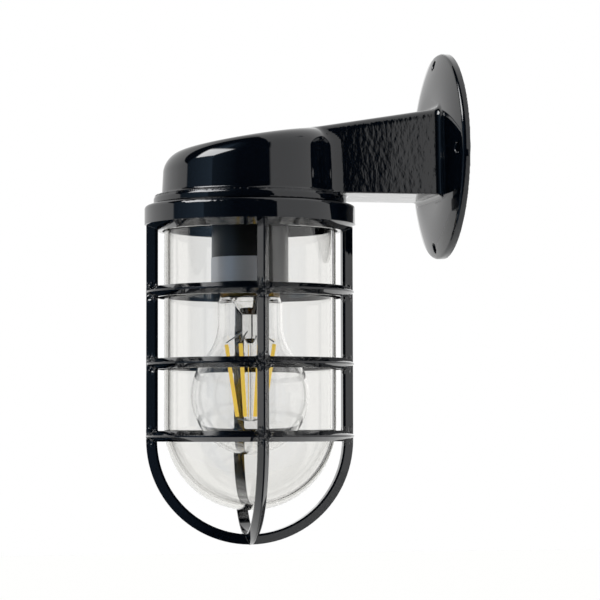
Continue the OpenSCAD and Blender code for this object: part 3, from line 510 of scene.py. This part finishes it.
def top_light(tree, parts, through):
    """Share of the top light in a direction: a square panel under the ceiling, in shares of its height over
    the lamp. It is shaded from the glass."""
    along = add(tree, "ShaderNodeMath", {0: parts["X"], 1: parts["Z"]}, operation="DIVIDE")["Value"]
    aside = add(tree, "ShaderNodeMath", {0: parts["Y"], 1: parts["Z"]}, operation="DIVIDE")["Value"]
    back_start, back_full = -0.22, -0.12
    front_start, front_full = 0.95, 0.85
    room_start, room_full = -1.95, -1.75
    wall_start, wall_full = -0.66, -0.84
    level, overhead = 0.0, 0.05
    glass_shade, open_air = 0.6, 0.4
    return inside(tree, [(along, back_start, back_full), (along, front_start, front_full),
                         (aside, room_start, room_full), (aside, wall_start, wall_full),
                         (parts["Z"], level, overhead), (through, glass_shade, open_air)])


def dim_daylight(tree, turn, climb):
    """Faint daylight in a direction: it grows towards a screen on the left, fades behind it, and doesn't
    reach the ceiling."""
    start, screen, end = -101 * DEG, -61 * DEG, -26 * DEG
    weak, strong, behind_strong = 0.17, 0.6, 0.22
    far_start, far_full = -103 * DEG, -100 * DEG
    screen_front, screen_back = -61.5 * DEG, -60 * DEG
    before_edges = [(turn, far_start, far_full), (turn, screen_back, screen_front)]
    behind_edges = [(turn, screen_front, screen_back)]
    ceiling, clear_of_it = 78 * DEG, 58 * DEG
    before = add(tree, "ShaderNodeMapRange", {"Value": turn, "From Min": start, "From Max": screen,
                                              "To Min": weak, "To Max": strong})["Result"]
    before = add(tree, "ShaderNodeMath", {0: before, 1: inside(tree, before_edges)},
                 operation="MULTIPLY")["Value"]
    behind = add(tree, "ShaderNodeMapRange", {"Value": turn, "From Min": screen, "From Max": end,
                                              "To Min": behind_strong, "To Max": 0.0})["Result"]
    behind = add(tree, "ShaderNodeMath", {0: behind, 1: inside(tree, behind_edges)},
                 operation="MULTIPLY")["Value"]
    daylight = add(tree, "ShaderNodeMath", {0: before, 1: behind}, operation="MAXIMUM")["Value"]
    below_ceiling = inside(tree, [(climb, ceiling, clear_of_it)])
    return add(tree, "ShaderNodeMath", {0: daylight, 1: below_ceiling}, operation="MULTIPLY")["Value"]


def studio_light(tree, way, through):
    """Colour of the studio in a direction, as polished surfaces show it."""
    parts = add(tree, "ShaderNodeSeparateXYZ", {"Vector": way})
    turn = add(tree, "ShaderNodeMath", {0: parts["Y"], 1: parts["X"]}, operation="ARCTAN2")["Value"]
    climb = add(tree, "ShaderNodeMath", {0: parts["Z"]}, operation="ARCSINE")["Value"]
    walls = white_walls(tree, turn, climb)
    white = add(tree, "ShaderNodeMath", {0: walls, 1: WHITE_LEVEL, 2: DARK_ROOM},
                operation="MULTIPLY_ADD")["Value"]
    panel = top_light(tree, parts, through)
    white = add(tree, "ShaderNodeMath", {0: panel, 1: TOP_LIGHT_LEVEL, 2: white},
                operation="MULTIPLY_ADD")["Value"]
    blue = dim_daylight(tree, turn, climb)
    return add(tree, "ShaderNodeVectorMath", {0: DIM_BLUE, 1: blue, 2: white},
               operation="MULTIPLY_ADD")["Vector"]


def studio():
    """White all round to the camera and through clear glass, soft light on matt surfaces, and a studio with
    white walls, a dark end and a top light in every reflection."""
    world = bpy.data.worlds.new("studio")
    scene.world = world
    world.use_nodes = True
    tree = world.node_tree
    tree.nodes.clear()
    way = add(tree, "ShaderNodeTexCoord", {})["Generated"]
    height = add(tree, "ShaderNodeSeparateXYZ", {"Vector": way})["Z"]
    fill = add(tree, "ShaderNodeMapRange", {"Value": height, "From Min": -1.0, "To Min": FILL_LOW,
                                            "To Max": FILL_HIGH})["Result"]
    through = add(tree, "ShaderNodeLightPath", {})["Transmission Depth"]
    white = (ALL_ROUND, ALL_ROUND, ALL_ROUND, 1.0)
    seen = add(tree, "ShaderNodeMix", {"Factor": seen_by(tree, POLISHED), 6: white,
                                       7: studio_light(tree, way, through)}, data_type="RGBA")[2]
    colour = add(tree, "ShaderNodeMix", {"Factor": seen_by(tree, MATT), 6: seen, 7: fill},
                 data_type="RGBA")[2]
    light = add(tree, "ShaderNodeBackground", {"Color": colour})["Background"]
    add(tree, "ShaderNodeOutputWorld", {"Surface": light})


def sheet_of(name, points, finish):
    """Flat stage sheet from its corners in metres."""
    mesh = bpy.data.meshes.new(name)
    mesh.from_pydata(points, [], [tuple(range(len(points)))])
    piece = bpy.data.objects.new(name, mesh)
    mesh.materials.append(finish)
    scene.collection.objects.link(piece)


def soft_box():
    """Tall soft box on the camera's right, with a soft near edge, cut away at its lower front. It shows in
    reflections only."""
    made, tree = material("lit_soft_box_cloth")
    near, far = Vector((1.153, 0.197, 0.0)), Vector((0.0, 1.6, 0.0))
    soft_edge = 0.05
    shows = add(tree, "ShaderNodeMath", {0: seen_by(tree, POLISHED), 1: seen_by(tree, MATT)},
                operation="SUBTRACT", use_clamp=True)["Value"]
    place = add(tree, "ShaderNodeTexCoord", {})["Object"]
    across = add(tree, "ShaderNodeSeparateXYZ", {"Vector": place})["X"]
    rise = inside(tree, [(across, near.x, near.x - soft_edge)])
    level = add(tree, "ShaderNodeMath", {0: rise, 1: BOX_LEVEL}, operation="MULTIPLY")["Value"]
    lit = add(tree, "ShaderNodeEmission", {"Strength": level})["Emission"]
    clear = add(tree, "ShaderNodeBsdfTransparent", {})["BSDF"]
    cloth = add(tree, "ShaderNodeMixShader", {0: shows, 1: clear, 2: lit})["Shader"]
    add(tree, "ShaderNodeOutputMaterial", {"Surface": cloth})
    along = (far - near).normalized()
    length = (far - near).length
    top, foot = 1.6, -0.48
    cut_away = [(0.0, 0.2), (0.106, 0.04), (0.2, -0.1), (0.3, -0.35)]
    outline = [(0.0, top)] + cut_away + [(cut_away[-1][0], foot), (length, foot), (length, top)]
    sheet_of("soft_box", [tuple(near + along * way + Vector((0, 0, z))) for way, z in outline], made)


def floor():
    """Plain pale floor, far below the lamp. It takes the lamp's soft shadow, and is clear from below. Its
    front left part doesn't show in reflections, where the room's dark end is seen."""
    made, tree = material("pale_floor")
    place = add(tree, "ShaderNodeTexCoord", {})["Object"]
    sweep_mm, sweep_depth = 400.0, 0.2 * MM
    sweep = add(tree, "ShaderNodeTexNoise", {"Vector": place, "Scale": per_m(sweep_mm)})["Fac"]
    bump = add(tree, "ShaderNodeBump", {"Height": sweep, "Distance": sweep_depth})["Normal"]
    matt = add(tree, "ShaderNodeBsdfPrincipled", {"Base Color": linear("#fbfbfa"), "Roughness": 1.0,
                                                  "Specular IOR Level": 0.0, "Normal": bump})["BSDF"]
    front, lamp_y, spread = 0.06, -0.1, 0.25
    across = add(tree, "ShaderNodeSeparateXYZ", {"Vector": place})
    in_front = add(tree, "ShaderNodeMath", {0: across["X"], 1: front}, operation="GREATER_THAN")["Value"]
    border = add(tree, "ShaderNodeMath", {0: across["X"], 1: spread, 2: lamp_y},
                 operation="MULTIPLY_ADD")["Value"]
    on_left = add(tree, "ShaderNodeMath", {0: across["Y"], 1: border}, operation="LESS_THAN")["Value"]
    dark_end = add(tree, "ShaderNodeMath", {0: in_front, 1: on_left}, operation="MULTIPLY")["Value"]
    unseen = add(tree, "ShaderNodeMath", {0: dark_end, 1: seen_by(tree, POLISHED)},
                 operation="MULTIPLY")["Value"]
    below = add(tree, "ShaderNodeNewGeometry", {})["Backfacing"]
    hidden = add(tree, "ShaderNodeMath", {0: below, 1: unseen}, operation="MAXIMUM")["Value"]
    clear = add(tree, "ShaderNodeBsdfTransparent", {})["BSDF"]
    surface = add(tree, "ShaderNodeMixShader", {0: hidden, 1: matt, 2: clear})["Shader"]
    add(tree, "ShaderNodeOutputMaterial", {"Surface": surface})
    half, low = 6.0, -0.5
    corners = [(-half, -half), (half, -half), (half, half), (-half, half)]
    sheet_of("pale_floor", [(x, y, low) for x, y in corners], made)


def camera():
    """Camera at the photograph's place: beside the lamp, a little below it and towards the room."""
    lens = bpy.data.cameras.new("camera")
    lens.lens = 152.3
    lens.sensor_width = 36.0
    lens.clip_end = 50.0
    eye = bpy.data.objects.new("camera", lens)
    place = Vector((1.2665, -0.3249, -0.1399))
    yaw, pitch, roll = 11.11 * DEG, 2.90 * DEG, -0.12 * DEG
    ahead = Vector((-math.cos(yaw) * math.cos(pitch), math.sin(yaw) * math.cos(pitch), math.sin(pitch)))
    turn = ahead.to_track_quat("-Z", "Y").to_matrix().to_4x4()
    eye.matrix_world = Matrix.Translation(place) @ turn @ Matrix.Rotation(roll, 4, "Z")
    scene.collection.objects.link(eye)
    scene.camera = eye


studio()
soft_box()
floor()
camera()
scene.view_settings.view_transform = "Standard"
